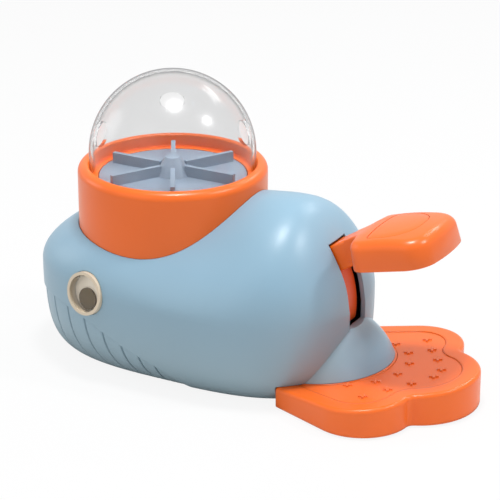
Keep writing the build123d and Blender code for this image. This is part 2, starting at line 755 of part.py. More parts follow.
# Feed floor: fixed tray, turning plate with vanes, spindle and its bushes
bush_r = SPINDLE_R + BUSH_WALL
table_low = tray_top + TURNTABLE_GAP
table_top = table_low + TURNTABLE_THICK
hub_low = tray_low - TRAY_HUB_DROP
tray = rod(DOME_X, 0, tray_low, tray_top, collar_inner_r - GAP)
tray += rod(DOME_X, 0, hub_low, tray_top, TRAY_HUB_R)
tray -= rod(DOME_X, 0, hub_low - 1, tray_top + 1, bush_r + TIGHT)
save("feed_tray", tray)
bush = rod(DOME_X, 0, hub_low, tray_top, bush_r) + rod(DOME_X, 0, tray_top, table_low, bush_r + 2)
bush -= rod(DOME_X, 0, hub_low - 1, table_low + 1, SPINDLE_R + FIT)
save("spindle_bush_upper", bush)
table = rod(DOME_X, 0, table_low, table_top, LEDGE_HOLE_R - TURNTABLE_GAP)
cone = [(0, table_top - 1), (CONE_R, table_top - 1), (CONE_R, table_top), (4, table_top + CONE_HEIGHT)]
cone += [(0, table_top + CONE_HEIGHT)]
table += Pos(DOME_X, 0, 0) * lathe(cone)
vane_length = LEDGE_HOLE_R - 3 - CONE_R + 2
for index in range(VANE_COUNT):
    vane = Pos(CONE_R - 2 + vane_length / 2, 0, table_top + VANE_HEIGHT / 2)
    vane *= Box(vane_length, VANE_THICK, VANE_HEIGHT)
    table += Pos(DOME_X, 0, 0) * Rot(0, 0, index * 360 / VANE_COUNT) * vane
spindle_top = table_top + CONE_HEIGHT - 3
table -= rod(DOME_X, 0, table_low - 1, spindle_top, SPINDLE_R + TIGHT)
save("turntable", table)

# Bevel pair: the upright spindle gear meets the lay gear square on
mesh_low = BEVEL_MODULE * SPINDLE_BEVEL_TEETH / 2
mesh_high = BEVEL_MODULE * LAY_BEVEL_TEETH / 2
gear_top = PIVOT_Z + mesh_high
spindle_low = PIVOT_Z + mesh_high - 6.5
spindle = rod(DOME_X, 0, spindle_low, spindle_top - 0.1, SPINDLE_R)
save("spindle", spindle)
half_gap = 180 / SPINDLE_BEVEL_TEETH
spindle_gear = bevel_gear(SPINDLE_BEVEL_TEETH, LAY_BEVEL_TEETH, half_gap - 90)
spindle_gear = Pos(DOME_X, 0, PIVOT_Z) * spindle_gear
spindle_gear += rod(DOME_X, 0, gear_top, gear_top + BEVEL_HUB, 6)
spindle_gear -= rod(DOME_X, 0, PIVOT_Z, gear_top + 10, SPINDLE_R + TIGHT)
save("spindle_gear", spindle_gear)

pinion_centre = MODULE * PINION_TEETH / 2
frame_inner = FRAME_INNER_Y - 0.5
lay_low_y = -frame_inner + 0.1
lay_plane = Plane((DOME_X, 0, PIVOT_Z), x_dir=(1, 0, 0), z_dir=(0, -1, 0))
lay_bevel = lay_plane * bevel_gear(LAY_BEVEL_TEETH, SPINDLE_BEVEL_TEETH, 90)
lay_bevel += cross_rod(DOME_X, PIVOT_Z, lay_low_y, -mesh_low, 6)
lay_bevel -= cross_rod(DOME_X, PIVOT_Z, lay_low_y - 1, 0, SPINDLE_R + TIGHT)
save("lay_bevel_gear", lay_bevel)
pinion_points = []
for index in range(PINION_TEETH):
    pinion_points += spur_tooth(PINION_TEETH, (index + 0.5) * 360 / PINION_TEETH)
lay_pinion = side_plate(outline_of(*pinion_points), GEAR_Y, GEAR_Y + GEAR_FACE)
lay_pinion = Pos(DOME_X, 0, PIVOT_Z) * lay_pinion
lay_pinion += cross_rod(DOME_X, PIVOT_Z, GEAR_Y + GEAR_FACE - 1, -lay_low_y, 5)
lay_pinion -= cross_rod(DOME_X, PIVOT_Z, 0, 40, SPINDLE_R + TIGHT)
save("lay_pinion", lay_pinion)
frame_outer = FRAME_INNER_Y + FRAME_THICK
save("lay_shaft", cross_rod(DOME_X, PIVOT_Z, -frame_outer - 0.5, frame_outer + 0.5, SPINDLE_R))
lay_bush_r = SPINDLE_R + 2
lay_bush = cross_rod(DOME_X, PIVOT_Z, FRAME_INNER_Y, frame_outer, lay_bush_r)
lay_bush += cross_rod(DOME_X, PIVOT_Z, frame_inner, FRAME_INNER_Y, lay_bush_r + 1.5)
lay_bush -= cross_rod(DOME_X, PIVOT_Z, 0, 40, SPINDLE_R + FIT)
save("lay_bush_right", lay_bush)
save("lay_bush_left", mirrored(lay_bush))

# Gear frames, the bridge across them and the pivot pin
frame_shape = outline_of(
    (-67, plate_top),
    (12, plate_top),
    (12, PIVOT_Z),
    (-40, 58),
    (-45, BRIDGE_Z),
    (-67, BRIDGE_Z),
)
frame_shape += Pos(0, PIVOT_Z) * Circle(12)
frame = side_plate(frame_shape, FRAME_INNER_Y, frame_outer)
frame -= cross_rod(DOME_X, PIVOT_Z, 0, 40, lay_bush_r + TIGHT)
frame -= cross_rod(0, PIVOT_Z, 0, 40, PIN_R + TIGHT)
frame -= side_plate(Pos(-27, 26) * RectangleRounded(36, 26, 5), 0, 40)
for x in FRAME_POSTS:
    y = frame_outer + POST_R - 0.6
    frame += rod(x, y, plate_top, plate_top + 8, POST_R)
    frame -= rod(x, y, 0, plate_top + 7, SCREW_R + FIT)
bridge_hole = cross_rod(DOME_X, BRIDGE_Z - 4.5, frame_outer - 2.6, 40, 1.25 + FIT)
frame -= bridge_hole
save("gear_frame_right", frame)
save("gear_frame_left", mirrored(frame))
bridge_end = frame_outer + 3
bridge = Pos(DOME_X, 0, BRIDGE_Z + BRIDGE_THICK / 2) * Box(18, 2 * bridge_end, BRIDGE_THICK)
for side in (1, -1):
    lip_y = side * (frame_outer + FIT + (3 - FIT) / 2)
    bridge += Pos(DOME_X, lip_y, BRIDGE_Z - 4) * Box(18, 3 - FIT, 8)
bridge -= rod(DOME_X, 0, 0, 100, bush_r + TIGHT)
bridge -= bridge_hole + mirrored(bridge_hole)
save("bearing_bridge", bridge)
low_bush = rod(DOME_X, 0, gear_top + BEVEL_HUB + 0.1, BRIDGE_Z + BRIDGE_THICK, bush_r)
low_bush -= rod(DOME_X, 0, 0, 100, SPINDLE_R + FIT)
save("spindle_bush_lower", low_bush)
bridge_screw = cross_rod(DOME_X, BRIDGE_Z - 4.5, frame_outer - 2.5, bridge_end, 1.25)
bridge_screw += cross_rod(DOME_X, BRIDGE_Z - 4.5, bridge_end, bridge_end + 1.3, 2.4)
bridge_screw -= Pos(DOME_X, bridge_end + 1.3, BRIDGE_Z - 4.5) * Box(3.2, 1.4, 0.8)
save("bridge_screws", bridge_screw + mirrored(bridge_screw))
save("pivot_pin", cross_rod(0, PIVOT_Z, -frame_outer - 1.5, frame_outer + 1.5, PIN_R))
clip = cross_rod(0, PIVOT_Z, frame_outer + FIT, frame_outer + 0.9, PIN_R + 2)
clip -= cross_rod(0, PIVOT_Z, 0, 40, PIN_R + TIGHT)
clip -= Pos(0, frame_outer, PIVOT_Z - 5) * Box(3, 6, 8)
save("pin_clips", clip + mirrored(clip))

# Lever arm: hub, ribs, curved slot shield and the tongue that the paddle fits on
hub_half = FRAME_INNER_Y - 0.5
arm_half = ARM_WIDTH / 2
pad_rise = SPRING_PAD_Z - PIVOT_Z + RIB / 2
web = outline_of((0, 0), (8, pad_rise), (SHIELD_R, pad_rise), (SHIELD_R, 40), polar(0, 0, SHIELD_R, SHIELD_TO))
web = Pos(0, PIVOT_Z) * (web & Circle(SHIELD_R - 1))
arm = side_plate(web, -RIB / 2, RIB / 2)
arm += side_plate(arc_band(0, PIVOT_Z, SHIELD_R - SHIELD_THICK, SHIELD_R, SHIELD_FROM, SHIELD_TO), -arm_half, arm_half)
pad_low = SPRING_PAD_Z
arm += Pos((6 + 52) / 2, 0, pad_low + RIB / 2) * Box(46, ARM_WIDTH, RIB)
for turn in (ARM_ANGLE, SHIELD_TO - 2):
    rib = Pos(SHIELD_R / 2, 0, 0) * Box(SHIELD_R - 3, ARM_WIDTH, RIB)
    arm += Pos(0, 0, PIVOT_Z) * Rot(0, -turn, 0) * rib
arm += cross_rod(0, PIVOT_Z, -hub_half, GEAR_Y, HUB_R)
arm += cross_rod(0, PIVOT_Z, GEAR_Y, hub_half, HUB_STEP_R)
arm += Pos(0, GEAR_Y + GEAR_FACE / 2, PIVOT_Z + HUB_STEP_R) * Box(3, GEAR_FACE, 3)
arm += arm_box(SHIELD_R - 1, TONGUE_R, TONGUE_HALF_WIDTH, TONGUE_HALF_DEPTH)
neck_pin_x, neck_pin_z = polar(0, PIVOT_Z, NECK_PIN_R, ARM_ANGLE)
arm -= cross_rod(neck_pin_x, neck_pin_z, -20, 20, 1.5 + TIGHT)
arm -= cross_rod(0, PIVOT_Z, -40, 40, PIN_R + FIT)
save("lever_arm", arm)
save("neck_pin", cross_rod(neck_pin_x, neck_pin_z, -arm_half, arm_half, 1.5))

# Drive sector, keyed to the lever's hub
sector_r = MODULE * SECTOR_TEETH_FULL / 2
tooth_step = 360 / SECTOR_TEETH_FULL
rim_out = sector_r - 1.25 * MODULE
sector_points = []
first = round((SECTOR_FROM - 180) / tooth_step)
last = round((SECTOR_TO - 180) / tooth_step)
for index in range(first, last + 1):
    sector_points += spur_tooth(SECTOR_TEETH_FULL, 180 + index * tooth_step)
edge_from = 180 + (first - 0.5) * tooth_step
edge_to = 180 + (last + 0.5) * tooth_step
sector_points = [polar(0, 0, rim_out, edge_from)] + sector_points + [polar(0, 0, rim_out, edge_to)]
inner_arc = [polar(0, 0, rim_out - 6, edge_to - (edge_to - edge_from) * step / 8) for step in range(9)]
sector_shape = outline_of(*sector_points, *inner_arc)
spoke_turn = (edge_from + edge_to) / 2
spoke = outline_of((0, 9), (0, -9), (-rim_out + 3, -13), (-rim_out + 3, 13))
window_shape = outline_of((-17, 3.5), (-17, -3.5), (-34, -6), (-34, 6))
sector_shape += Rot(0, 0, spoke_turn - 180) * (spoke - window_shape)
sector_shape += Circle(HUB_STEP_R + 4)
sector_shape -= Circle(HUB_STEP_R + TIGHT)
sector_shape -= Pos(0, HUB_STEP_R) * Rectangle(3 + 2 * FIT, 3 + 2 * FIT)
sector = side_plate(Pos(0, PIVOT_Z) * sector_shape, GEAR_Y, GEAR_Y + GEAR_FACE)
save("drive_sector", sector)
spacer = cross_rod(0, PIVOT_Z, GEAR_Y + GEAR_FACE, hub_half, HUB_R)
spacer -= cross_rod(0, PIVOT_Z, 0, 40, HUB_STEP_R + TIGHT)
save("sector_spacer", spacer)

# Return spring between the base plate and the lever
spring_low = plate_top + SPRING_WIRE / 2
spring_high = SPRING_PAD_Z - SPRING_WIRE / 2
coil_r = (SPRING_OD - SPRING_WIRE) / 2
coil = Helix((spring_high - spring_low) / SPRING_TURNS, spring_high - spring_low, coil_r)
wire_end = Plane(coil @ 0, z_dir=coil % 0) * Circle(SPRING_WIRE / 2)
spring = sweep(wire_end, path=coil)
save("return_spring", Pos(SPRING_X, 0, spring_low) * spring)

# Press paddle: hollow shell with a neck, a top panel and a base cover
block = extrude(paddle_plane(0) * paddle_outline(0, 0, 0, PADDLE_CORNER_R), PADDLE_ROOT_THICK + 5)
block = split(block, bisect_by=paddle_top(0), keep=Keep.BOTTOM)
top_face = block.faces().sort_by(Axis.Z)[-1]
block = fillet(top_face.edges(), PADDLE_ROUND)
inner_corner_r = PADDLE_CORNER_R - PADDLE_WALL
hollow = extrude(paddle_plane(-1) * paddle_outline(PADDLE_WALL, PADDLE_WALL, PADDLE_WALL, inner_corner_r), PADDLE_ROOT_THICK + 5)
hollow = split(hollow, bisect_by=paddle_top(PADDLE_ROOF), keep=Keep.BOTTOM)
paddle = block - hollow
recess = extrude(paddle_plane(2) * paddle_outline(3, 3.5, 9, PADDLE_PANEL_R), PADDLE_ROOT_THICK + 5)
recess = split(recess, bisect_by=paddle_top(PANEL_DEPTH), keep=Keep.TOP)
paddle -= recess
neck = arm_box(SHIELD_R + GAP, NECK_END_R, arm_half, ARM_HALF_DEPTH)
gusset = Pos(-NECK_BLEND_R / 2, arm_half + NECK_BLEND_R / 2) * Rectangle(NECK_BLEND_R, NECK_BLEND_R)
gusset -= Pos(-NECK_BLEND_R, arm_half + NECK_BLEND_R) * Circle(NECK_BLEND_R)
gusset = extrude(paddle_plane(-10) * gusset, 45) & arm_box(SHIELD_R + GAP, NECK_END_R + 10, 30, ARM_HALF_DEPTH)
neck = fillet(neck.edges().filter_by(Axis.Y, reverse=True).filter_by(lambda e: e.length > 10), 1.5)
paddle += neck + gusset + mirrored(gusset)
paddle -= arm_box(SHIELD_R - 2, TONGUE_R + 1, TONGUE_HALF_WIDTH + SOCKET_GAP, TONGUE_HALF_DEPTH + SOCKET_GAP)
paddle -= cross_rod(neck_pin_x, neck_pin_z, -20, 20, 1.5 + TIGHT)
save("paddle", paddle)
slack = PADDLE_WALL + SEAT_GAP
cover = extrude(paddle_plane(0) * paddle_outline(slack, slack, slack, inner_corner_r), 2)
save("paddle_base", cover - neck)
plate = paddle_outline(3 + PANEL_GAP, 3.5 + PANEL_GAP, 9 + PANEL_GAP, PADDLE_PANEL_R - PANEL_GAP)
plate = extrude(paddle_plane(2) * plate, PADDLE_ROOT_THICK + 5)
plate = split(plate, bisect_by=paddle_top(PANEL_DEPTH), keep=Keep.TOP)
plate = split(plate, bisect_by=paddle_top(PANEL_DEPTH - PANEL_THICK), keep=Keep.BOTTOM)
save("paddle_panel", plate)

# Eyes: ring, dish, loose pupil and clear cap, made for one side and mirrored
ring_inner = EYE_R - EYE_RING
dish_top = -EYE_DEPTH + 1.2
bezel = eye_disc(EYE_R, -EYE_DEPTH, EYE_STAND) - eye_disc(ring_inner, -EYE_DEPTH - 1, EYE_STAND + 1)
dish = eye_disc(ring_inner - FIT, -EYE_DEPTH, dish_top)
pupil = eye_disc(PUPIL_R, dish_top + 0.1, dish_top + 0.1 + PUPIL_THICK, PUPIL_DROP)
lens_r = ring_inner - FIT
cap_r = (lens_r ** 2 + LENS_RISE ** 2) / (2 * LENS_RISE)
cap = Pos(0, 0, EYE_STAND - 1 + LENS_RISE - cap_r) * Sphere(cap_r)
cap -= Pos(0, 0, EYE_STAND - 1 + LENS_RISE - cap_r) * Sphere(cap_r - LENS_THICK)
cap &= Pos(0, 0, EYE_STAND - 1 + LENS_RISE / 2) * Cylinder(lens_r, LENS_RISE)
tube_top = EYE_STAND - 1
tube = Pos(0, 0, (dish_top + tube_top) / 2) * (Cylinder(lens_r, tube_top - dish_top) - Cylinder(lens_r - LENS_THICK, 20))
lens = eye_plane * (cap + tube)
for name, piece in (("eye_bezel", bezel), ("eye_dish", dish), ("pupil", pupil), ("eye_lens", lens)):
    save(f"{name}_right", mirrored(piece))
    save(f"{name}_left", piece)
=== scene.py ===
import json
import math

import bmesh
import bpy
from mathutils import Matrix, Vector


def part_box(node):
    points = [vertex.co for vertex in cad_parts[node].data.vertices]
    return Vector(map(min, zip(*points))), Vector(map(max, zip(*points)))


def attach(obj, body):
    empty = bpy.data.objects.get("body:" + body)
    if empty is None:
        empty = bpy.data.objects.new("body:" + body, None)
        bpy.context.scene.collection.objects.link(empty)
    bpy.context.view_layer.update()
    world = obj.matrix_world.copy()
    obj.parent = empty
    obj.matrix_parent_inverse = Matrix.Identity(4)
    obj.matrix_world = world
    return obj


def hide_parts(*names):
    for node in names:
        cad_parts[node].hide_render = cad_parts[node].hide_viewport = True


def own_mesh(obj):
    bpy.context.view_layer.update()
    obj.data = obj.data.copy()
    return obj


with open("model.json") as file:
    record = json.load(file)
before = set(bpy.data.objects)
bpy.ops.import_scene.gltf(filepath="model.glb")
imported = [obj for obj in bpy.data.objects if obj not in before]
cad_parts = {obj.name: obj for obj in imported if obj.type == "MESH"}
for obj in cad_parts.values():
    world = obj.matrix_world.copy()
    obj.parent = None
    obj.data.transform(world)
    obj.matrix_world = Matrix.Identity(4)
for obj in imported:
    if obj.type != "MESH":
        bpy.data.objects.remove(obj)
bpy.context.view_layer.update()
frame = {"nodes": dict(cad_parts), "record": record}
nodes = frame["nodes"]
record = frame["record"]
scene = bpy.context.scene

# Colours as written on screen, from 0 to 255
BODY_BLUE = (138, 172, 192)
# Painted shade: a greyer blue for the lower body, standing in for the shade it lies in; the plastic
# is one blue
BELLY_SHADE_GREY = (146, 167, 175)
SHELL_ORANGE = (240, 106, 24)
# Painted shade: the arm's orange is the shell's made a little darker, for the shade the arm sits in
ARM_SHADED_ORANGE = (230, 92, 26)
FLOOR_GREY = (126, 140, 156)
GEAR_WHITE = (226, 222, 210)
FRAME_GREY = (120, 125, 132)
EYE_CREAM = (212, 196, 172)
DISH_GREY = (214, 205, 192)
PUPIL_BROWN = (80, 64, 32)
DOME_CLEAR = (240, 240, 240)
DOME_EDGE = (64, 66, 70)
LENS_CLEAR = (252, 251, 248)
LENS_EDGE = (238, 232, 222)
RUBBER_GREY = (58, 60, 64)
STEEL = (186, 188, 192)

# Painted shade: the greyer colour of the shaded lower body gives way to the body's with height and
# towards the tail, in metres
BELLY_SHADE_FADE = (0.005, 0.07)
TAIL_FADE = (0.05, 0.075)

# Shares of a noise or of a view angle between which a colour changes into the next
DRIFT_SPAN = (0.3, 0.7)
RIM_SPAN = (0.7, 0.89)

# Refraction: the clear walls are thin, so they bend the view far less than solid plastic would
PLASTIC_IOR = 1.49
WALL_IOR = 1.03
COAT_IOR = 1.5

# Sockets of a colour mix node
MIX_SHARE, MIX_FIRST, MIX_SECOND, MIX_RESULT = 0, 6, 7, 2


def shade(colour):
    """A screen colour from 0 to 255 as linear light."""
    values = []
    for part in colour:
        part = part / 255
        values.append(part / 12.92 if part <= 0.04045 else ((part + 0.055) / 1.055) ** 2.4)
    return (*values, 1.0)


def lighter(colour, share):
    return tuple(min(255, part * share) for part in colour)


class Graph:
    """A node tree that starts empty, with a short way to add and join nodes."""

    def __init__(self, tree):
        self.tree = tree
        self.tree.nodes.clear()

    def add(self, kind, values=None, **settings):
        """A new node with its settings, and the values of its inputs by name."""
        node = self.tree.nodes.new(kind)
        for name, value in settings.items():
            setattr(node, name, value)
        for name, value in (values or {}).items():
            node.inputs[name].default_value = value
        return node

    def join(self, source, output, target, entry):
        self.tree.links.new(source.outputs[output], target.inputs[entry])

    def span(self, source, output, low, high):
        """A 0 to 1 value brought into a range."""
        node = self.add("ShaderNodeMapRange", {"To Min": low, "To Max": high})
        self.join(source, output, node, "Value")
        return node

    def share(self, source, output, low, high):
        """How far a value has come through a range, from 0 to 1."""
        node = self.add("ShaderNodeMapRange", {"From Min": low, "From Max": high})
        self.join(source, output, node, "Value")
        return node

    def larger(self, first, first_output, second, second_output):
        """The larger of two values."""
        node = self.add("ShaderNodeMath", operation="MAXIMUM")
        self.join(first, first_output, node, 0)
        self.join(second, second_output, node, 1)
        return node

    def mixed(self, share, output, first, second):
        """Two shaders mixed, all of the second where the share is 1."""
        node = self.add("ShaderNodeMixShader")
        self.join(share, output, node, "Fac")
        self.join(first, 0, node, 1)
        self.join(second, 0, node, 2)
        return node


class Finish(Graph):
    """A material with one main surface."""

    def __init__(self, name):
        self.material = bpy.data.materials.new(name)
        self.material.use_nodes = True
        super().__init__(self.material.node_tree)
        self.output = self.add("ShaderNodeOutputMaterial")
        self.surface = self.add("ShaderNodeBsdfPrincipled")
        self.join(self.surface, "BSDF", self.output, "Surface")
        self.place = self.add("ShaderNodeTexCoord")

    def noise(self, scale, detail=3.0):
        values = {"Scale": scale, "Detail": detail, "Roughness": 0.55}
        node = self.add("ShaderNodeTexNoise", values)
        self.join(self.place, "Object", node, "Vector")
        return node

    def ramp(self, source, output, between, first, last):
        """One colour that changes into another along a 0 to 1 value."""
        node = self.add("ShaderNodeValToRGB")
        stops = zip(node.color_ramp.elements, between, (first, last))
        for element, position, colour in stops:
            element.position = position
            element.color = shade(colour)
        self.join(source, output, node, "Fac")
        return node

    def drift(self, source, colour, darkest, lightest):
        """The colour a little darker and lighter by turns."""
        shades = (lighter(colour, darkest), lighter(colour, lightest))
        return self.ramp(source, "Fac", DRIFT_SPAN, *shades)

    def gloss(self, source, low, high):
        """An uneven gloss, from the roughness low to high."""
        self.join(self.span(source, "Fac", low, high), "Result", self.surface, "Roughness")

    def bump(self, source, strength, distance):
        """A relief on the surface, so many metres high."""
        values = {"Strength": strength, "Distance": distance}
        node = self.add("ShaderNodeBump", values)
        self.join(source, "Fac", node, "Height")
        self.join(node, "Normal", self.surface, "Normal")
        return node

    def set(self, **values):
        """The main surface's inputs, with _ for each space in a name."""
        for name, value in values.items():
            self.surface.inputs[name.replace("_", " ")].default_value = value


def plastic(name, colour, rough=0.3, vary=0.03, grain=900.0, depth=0.00002, low=None, edge=0.0):
    """Moulded plastic: slight colour drift, a fine grain, uneven gloss and softened edges, with
    painted shade low down when given a low colour.
    """
    g = Finish(name)
    tint = g.drift(g.noise(scale=14.0, detail=2.0), colour, 1 - vary, 1 + vary)
    # Painted shade: the low colour covers the lower body and fades out upwards and towards the tail
    if low:
        place = g.add("ShaderNodeSeparateXYZ")
        g.join(g.place, "Object", place, "Vector")
        height = g.share(place, "Z", *BELLY_SHADE_FADE)
        tail = g.share(place, "X", *TAIL_FADE)
        blend = g.add("ShaderNodeMix", data_type="RGBA")
        g.join(g.larger(height, "Result", tail, "Result"), 0, blend, MIX_SHARE)
        blend.inputs[MIX_FIRST].default_value = shade(low)
        g.join(tint, "Color", blend, MIX_SECOND)
        g.join(blend, MIX_RESULT, g.surface, "Base Color")
    else:
        g.join(tint, "Color", g.surface, "Base Color")
    g.gloss(g.noise(scale=60.0, detail=4.0), rough - 0.04, rough + 0.06)
    g.set(IOR=PLASTIC_IOR)
    relief = g.bump(g.noise(grain, detail=2.0), strength=0.35, distance=depth)
    if edge:
        soft = g.add("ShaderNodeBevel", {"Radius": edge}, samples=8)
        g.join(soft, "Normal", relief, "Normal")
    return g.material


def clear_plastic(name, tint, edge, coat_rough):
    """Clear moulded plastic: greyer where it is seen edge on, glossy, and no bar to lamp light."""
    g = Finish(name)
    view = g.add("ShaderNodeLayerWeight", {"Blend": 0.5})
    g.join(g.ramp(view, "Facing", RIM_SPAN, tint, edge), "Color", g.surface, "Base Color")
    g.set(Transmission_Weight=1.0, IOR=WALL_IOR)
    g.set(Coat_Weight=0.5, Coat_Roughness=coat_rough, Coat_IOR=COAT_IOR)
    g.gloss(g.noise(scale=40.0, detail=2.0), 0.0, 0.02)
    g.bump(g.noise(scale=22.0, detail=1.0), strength=0.05, distance=0.0004)
    path = g.add("ShaderNodeLightPath")
    passed = g.add("ShaderNodeBsdfTransparent")
    g.join(g.mixed(path, "Is Shadow Ray", g.surface, passed), "Shader", g.output, "Surface")
    return g.material


def steel(name):
    """Drawn steel: fine streaks in its colour and its gloss."""
    g = Finish(name)
    streaks = g.noise(scale=500.0, detail=4.0)
    g.join(g.drift(streaks, STEEL, 0.92, 1), "Color", g.surface, "Base Color")
    g.set(Metallic=1.0)
    g.gloss(streaks, 0.22, 0.36)
    return g.material


def rubber(name):
    """Dull rubber with a coarse grain."""
    g = Finish(name)
    tint = g.drift(g.noise(scale=90.0), RUBBER_GREY, 0.9, 1.15)
    g.join(tint, "Color", g.surface, "Base Color")
    g.set(Roughness=0.75)
    g.bump(g.noise(scale=1500.0), strength=0.4, distance=0.00004)
    return g.material


plastics = {
    # Painted shade: the body is given a greyer colour low down
    "body_blue": dict(colour=BODY_BLUE, rough=0.36, vary=0.015, low=BELLY_SHADE_GREY, edge=0.0006),
    "shell_orange": dict(colour=SHELL_ORANGE, vary=0.02, edge=0.0007),
    "paddle_orange": dict(colour=SHELL_ORANGE, vary=0.02),
    "fluke_orange": dict(colour=SHELL_ORANGE, vary=0.02, edge=0.0022),
    # Painted shade: the arm's darker orange
    "arm_orange": dict(colour=ARM_SHADED_ORANGE, rough=0.36, vary=0.02, edge=0.0006),
    "floor_grey": dict(colour=FLOOR_GREY, rough=0.42, grain=600.0, depth=0.00004),
    "gear_white": dict(colour=GEAR_WHITE, rough=0.45, vary=0.02),
    "frame_grey": dict(colour=FRAME_GREY, rough=0.5, grain=600.0, depth=0.00005),
    "eye_cream": dict(colour=EYE_CREAM, rough=0.4),
    "eye_dish": dict(colour=DISH_GREY, rough=0.35),
    "pupil_brown": dict(colour=PUPIL_BROWN, rough=0.35, vary=0.05),
}
materials = {name: plastic(name, **look) for name, look in plastics.items()}
materials["clear_dome"] = clear_plastic("clear_dome", DOME_CLEAR, DOME_EDGE, coat_rough=0.2)
materials["eye_lens"] = clear_plastic("eye_lens", LENS_CLEAR, LENS_EDGE, coat_rough=0.08)
materials["steel"] = steel("steel")
materials["rubber_grey"] = rubber("rubber_grey")

# Nodes that look different from their slot
slot_of = {entry["node"]: entry["material_slot"] for entry in record["subparts"]}
own_look = {"foot_fluke": "fluke_orange"}
for side in ("left", "right"):
    own_look[f"eye_bezel_{side}"] = "eye_cream"
    own_look[f"eye_dish_{side}"] = "eye_dish"
    own_look[f"eye_lens_{side}"] = "eye_lens"
for node, obj in nodes.items():
    obj.data.materials.clear()
    obj.data.materials.append(materials[own_look.get(node, slot_of[node])])

# Arm's frame, in millimetres: its pivot, its rise at rest and the shield's radius
PIVOT_Z = 45.0
ARM_TURN = math.radians(31.5)
SHIELD_R = 54.8

# Press paddle, a crowned block that flares into its neck, in millimetres in its own tilted frame
PADDLE_X = 71.0
PADDLE_Z = 78.4
PADDLE_TILT = math.radians(13.0)
PADDLE_HALF = 27.5
PADDLE_END = 42.0
PADDLE_BULGE = 4.0
PADDLE_CORNER = 14.0
PADDLE_THICK = 18.0
PADDLE_CREST = 14.0
PADDLE_CROWN = 140.0
PADDLE_ROUND = 5.0
PADDLE_DRAFT = 0.06
ROUND_STEPS = 7

# Arm end of the block: straight sides, then a hollow arc and a full one out to the block's width
ROOT_START = -14.6
ROOT_HALF = 8.8
FLARE_START = -10.0
FLARE_HOLLOW = 4.0
FLARE_FULL = 8.0
FLARE_TURN = math.radians(80)
FLARE_STEPS = 5

# Top of the neck: its height at the start of the paddle's frame, its rise, its blend into the crown
NECK_TOP = 16.83
NECK_RISE = 0.335
NECK_BLEND = 1.0

# The edge round fades from all of it to its least share over this length of the flare
FADE_LENGTH = 10.0
FADE_LEAST = 0.15

# Neck and the socket in it: half width, half depth and corner, and how far out from the pivot
NECK_SIZE = (8.3, 7.3, 1.6)
NECK_END = 80.0
SOCKET_SIZE = (5.8, 4.3, 0.3)
SOCKET_END = 77.0

# Panel and cover: arm end, half width, free end, its bulge and corner, corner at the arm end
PANEL_SIZE = (5.0, 20.5, 30.0, 4.0, 17.0, 3.0)
COVER_SIZE = (3.0, 25.0, 39.5, 3.4, 11.5, 2.0)
PANEL_RECESS = 1.4
COVER_RECESS = 2.1
PANEL_GAP = 0.3
COVER_GAP = 0.1

# Edges as steps, each how far in from the outline, then how far up from the underside or, for the
# panel, down from the crown
UNDER_EDGE = ((0.6, 0.0), (0.2, 0.2), (0.0, 0.6))
PANEL_EDGE = ((0.0, 1.35), (0.0, 0.35), (0.1, 0.1), (0.4, 0.0))
COVER_EDGE = ((0.3, 0.1), (0.0, 0.4), (0.0, 2.0))

# Rings from the block's edge to the panel, and from the panel's outline in to its spine
TOP_SHARES = (0.2, 0.4, 0.6, 0.8, 1.0)
PANEL_SPINE = (12.0, 16.0)
SPINE_SHARES = (0.3, 0.6, 0.85, 1.0)

# Steps along the parts of an outline
ROOT_STEPS = 4
SIDE_STEPS = 5
CORNER_STEPS = 14
END_STEPS = 6
PLATE_ROOT_HALF = 8.0
PLATE_ROOT_STEPS = 8
PLATE_CORNER_STEPS = 5
BAR_CORNER_STEPS = 4

WELD = 1e-7
SHARP = math.radians(32)


def paddle_point(u, v, w):
    """A point of the paddle's frame: out along the paddle, across it and up from its underside."""
    x = PADDLE_X + u * math.cos(PADDLE_TILT) - w * math.sin(PADDLE_TILT)
    z = PADDLE_Z + u * math.sin(PADDLE_TILT) + w * math.cos(PADDLE_TILT)
    return Vector((x, v, z)) / 1000


def arm_point(r, v, w):
    """A point of the arm's frame: out from the pivot, across the arm and up from its axis."""
    x = r * math.cos(ARM_TURN) - w * math.sin(ARM_TURN)
    z = PIVOT_Z + r * math.sin(ARM_TURN) + w * math.cos(ARM_TURN)
    return Vector((x, v, z)) / 1000


def crown(u, v):
    """Height of the paddle's top, which falls with the neck at the arm end."""
    top = PADDLE_THICK - ((u - PADDLE_CREST) ** 2 + v ** 2) / (2 * PADDLE_CROWN)
    neck = NECK_TOP + u * NECK_RISE
    overlap = max(NECK_BLEND - abs(top - neck), 0)
    return min(top, neck) - overlap ** 2 / (4 * NECK_BLEND)


def fade(u):
    """How much of the edge round is left towards the arm end."""
    return min(max((u - FLARE_START) / FADE_LENGTH, FADE_LEAST), 1.0)


def arc(centre, radius, start, stop, steps):
    """Points on an arc, both ends among them."""
    points = []
    for k in range(steps + 1):
        angle = start + (stop - start) * (k / steps)
        points.append((
            centre[0] + radius * math.cos(angle),
            centre[1] + radius * math.sin(angle),
        ))
    return points


def outline(root, root_half, root_curve, half, end, bulge, corner):
    """A closed outline seen from above, from the arm end round the free end and back."""
    bow = (half ** 2 + bulge ** 2) / (2 * bulge)
    centre = end - bow
    turn = math.asin((half - corner) / (bow - corner))
    corner_u = centre + (bow - corner) * math.cos(turn)
    start = root_curve[-1][0]
    side = [(root, root_half * k / ROOT_STEPS) for k in range(ROOT_STEPS)] + root_curve
    for k in range(1, SIDE_STEPS):
        side.append((start + (corner_u - start) * k / SIDE_STEPS, half))
    side += arc((corner_u, half - corner), corner, math.pi / 2, turn, CORNER_STEPS)
    side += arc((centre, 0), bow, turn, 0, END_STEPS)[1:]
    return side + [(u, -v) for u, v in reversed(side[1:-1])]


def inset(points, amount, taper=False):
    """The outline moved inward, less so towards the arm end where it tapers."""
    moved = []
    for k, (u, v) in enumerate(points):
        (u0, v0), (u1, v1) = points[k - 1], points[(k + 1) % len(points)]
        along = Vector((u1 - u0, v1 - v0)).normalized()
        step = amount * fade(u) if taper else amount
        moved.append((u + along.y * step, v - along.x * step))
    return moved


